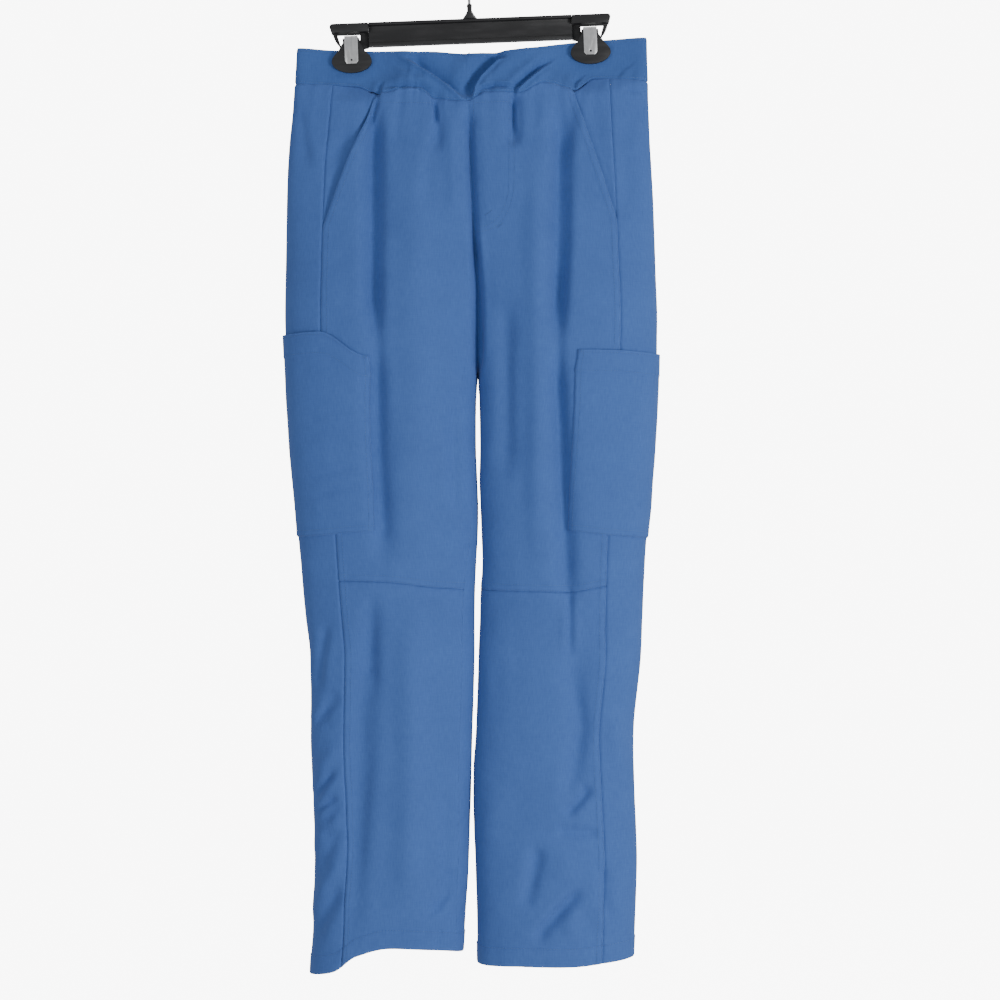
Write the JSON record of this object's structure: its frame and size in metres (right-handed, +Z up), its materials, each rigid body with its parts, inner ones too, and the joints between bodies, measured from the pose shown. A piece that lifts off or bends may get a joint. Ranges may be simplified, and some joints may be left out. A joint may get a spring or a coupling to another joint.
{
  "type": "cargo scrub trousers on a clip hanger",
  "caption": "Blue cotton-blend scrub trousers with an elastic waistband, slanted slash pockets and cargo pockets, hung by the waist from a black clip hanger",
  "frame": {"origin": "the inside top of the hanger's hook, where it rests on a rail, in the middle of the wire", "axes": "+Z is up, -Y is the front of the trousers, and +X is to the right as seen from the front"},
  "size_m": [0.4197, 0.0955, 1.1333],
  "materials": {
    "cloth": "soft matte plain weave with a faint heather",
    "waistband": "the same cloth, doubled over elastic and gathered",
    "hanger_plastic": "satin moulded",
    "clip_steel": "plated spring steel",
    "hook_wire": "plated wire"
  },
  "bodies": {
    "root": {"waistband_front": "waistband", "waistband_back": "waistband", "left_front_upper": "cloth", "left_front_lower": "cloth", "left_side_panel_hip": "cloth", "left_side_panel_thigh": "cloth", "left_side_panel_shin": "cloth", "left_back_hip": "cloth", "left_back_thigh": "cloth", "left_back_shin": "cloth", "left_pocket_facing": "cloth", "left_cargo_pocket": "cloth", "right_front_upper": "cloth", "right_front_lower": "cloth", "right_side_panel_hip": "cloth", "right_side_panel_thigh": "cloth", "right_side_panel_shin": "cloth", "right_back_hip": "cloth", "right_back_thigh": "cloth", "right_back_shin": "cloth", "right_pocket_facing": "cloth", "right_cargo_pocket": "cloth", "hanger_bar": "hanger_plastic", "hanger_hook": "hook_wire", "left_clip_frame": "hanger_plastic", "left_clip_jaw": "hanger_plastic", "left_clip_spring": "clip_steel", "right_clip_frame": "hanger_plastic", "right_clip_jaw": "hanger_plastic", "right_clip_spring": "clip_steel"}
  },
  "joints": []
}
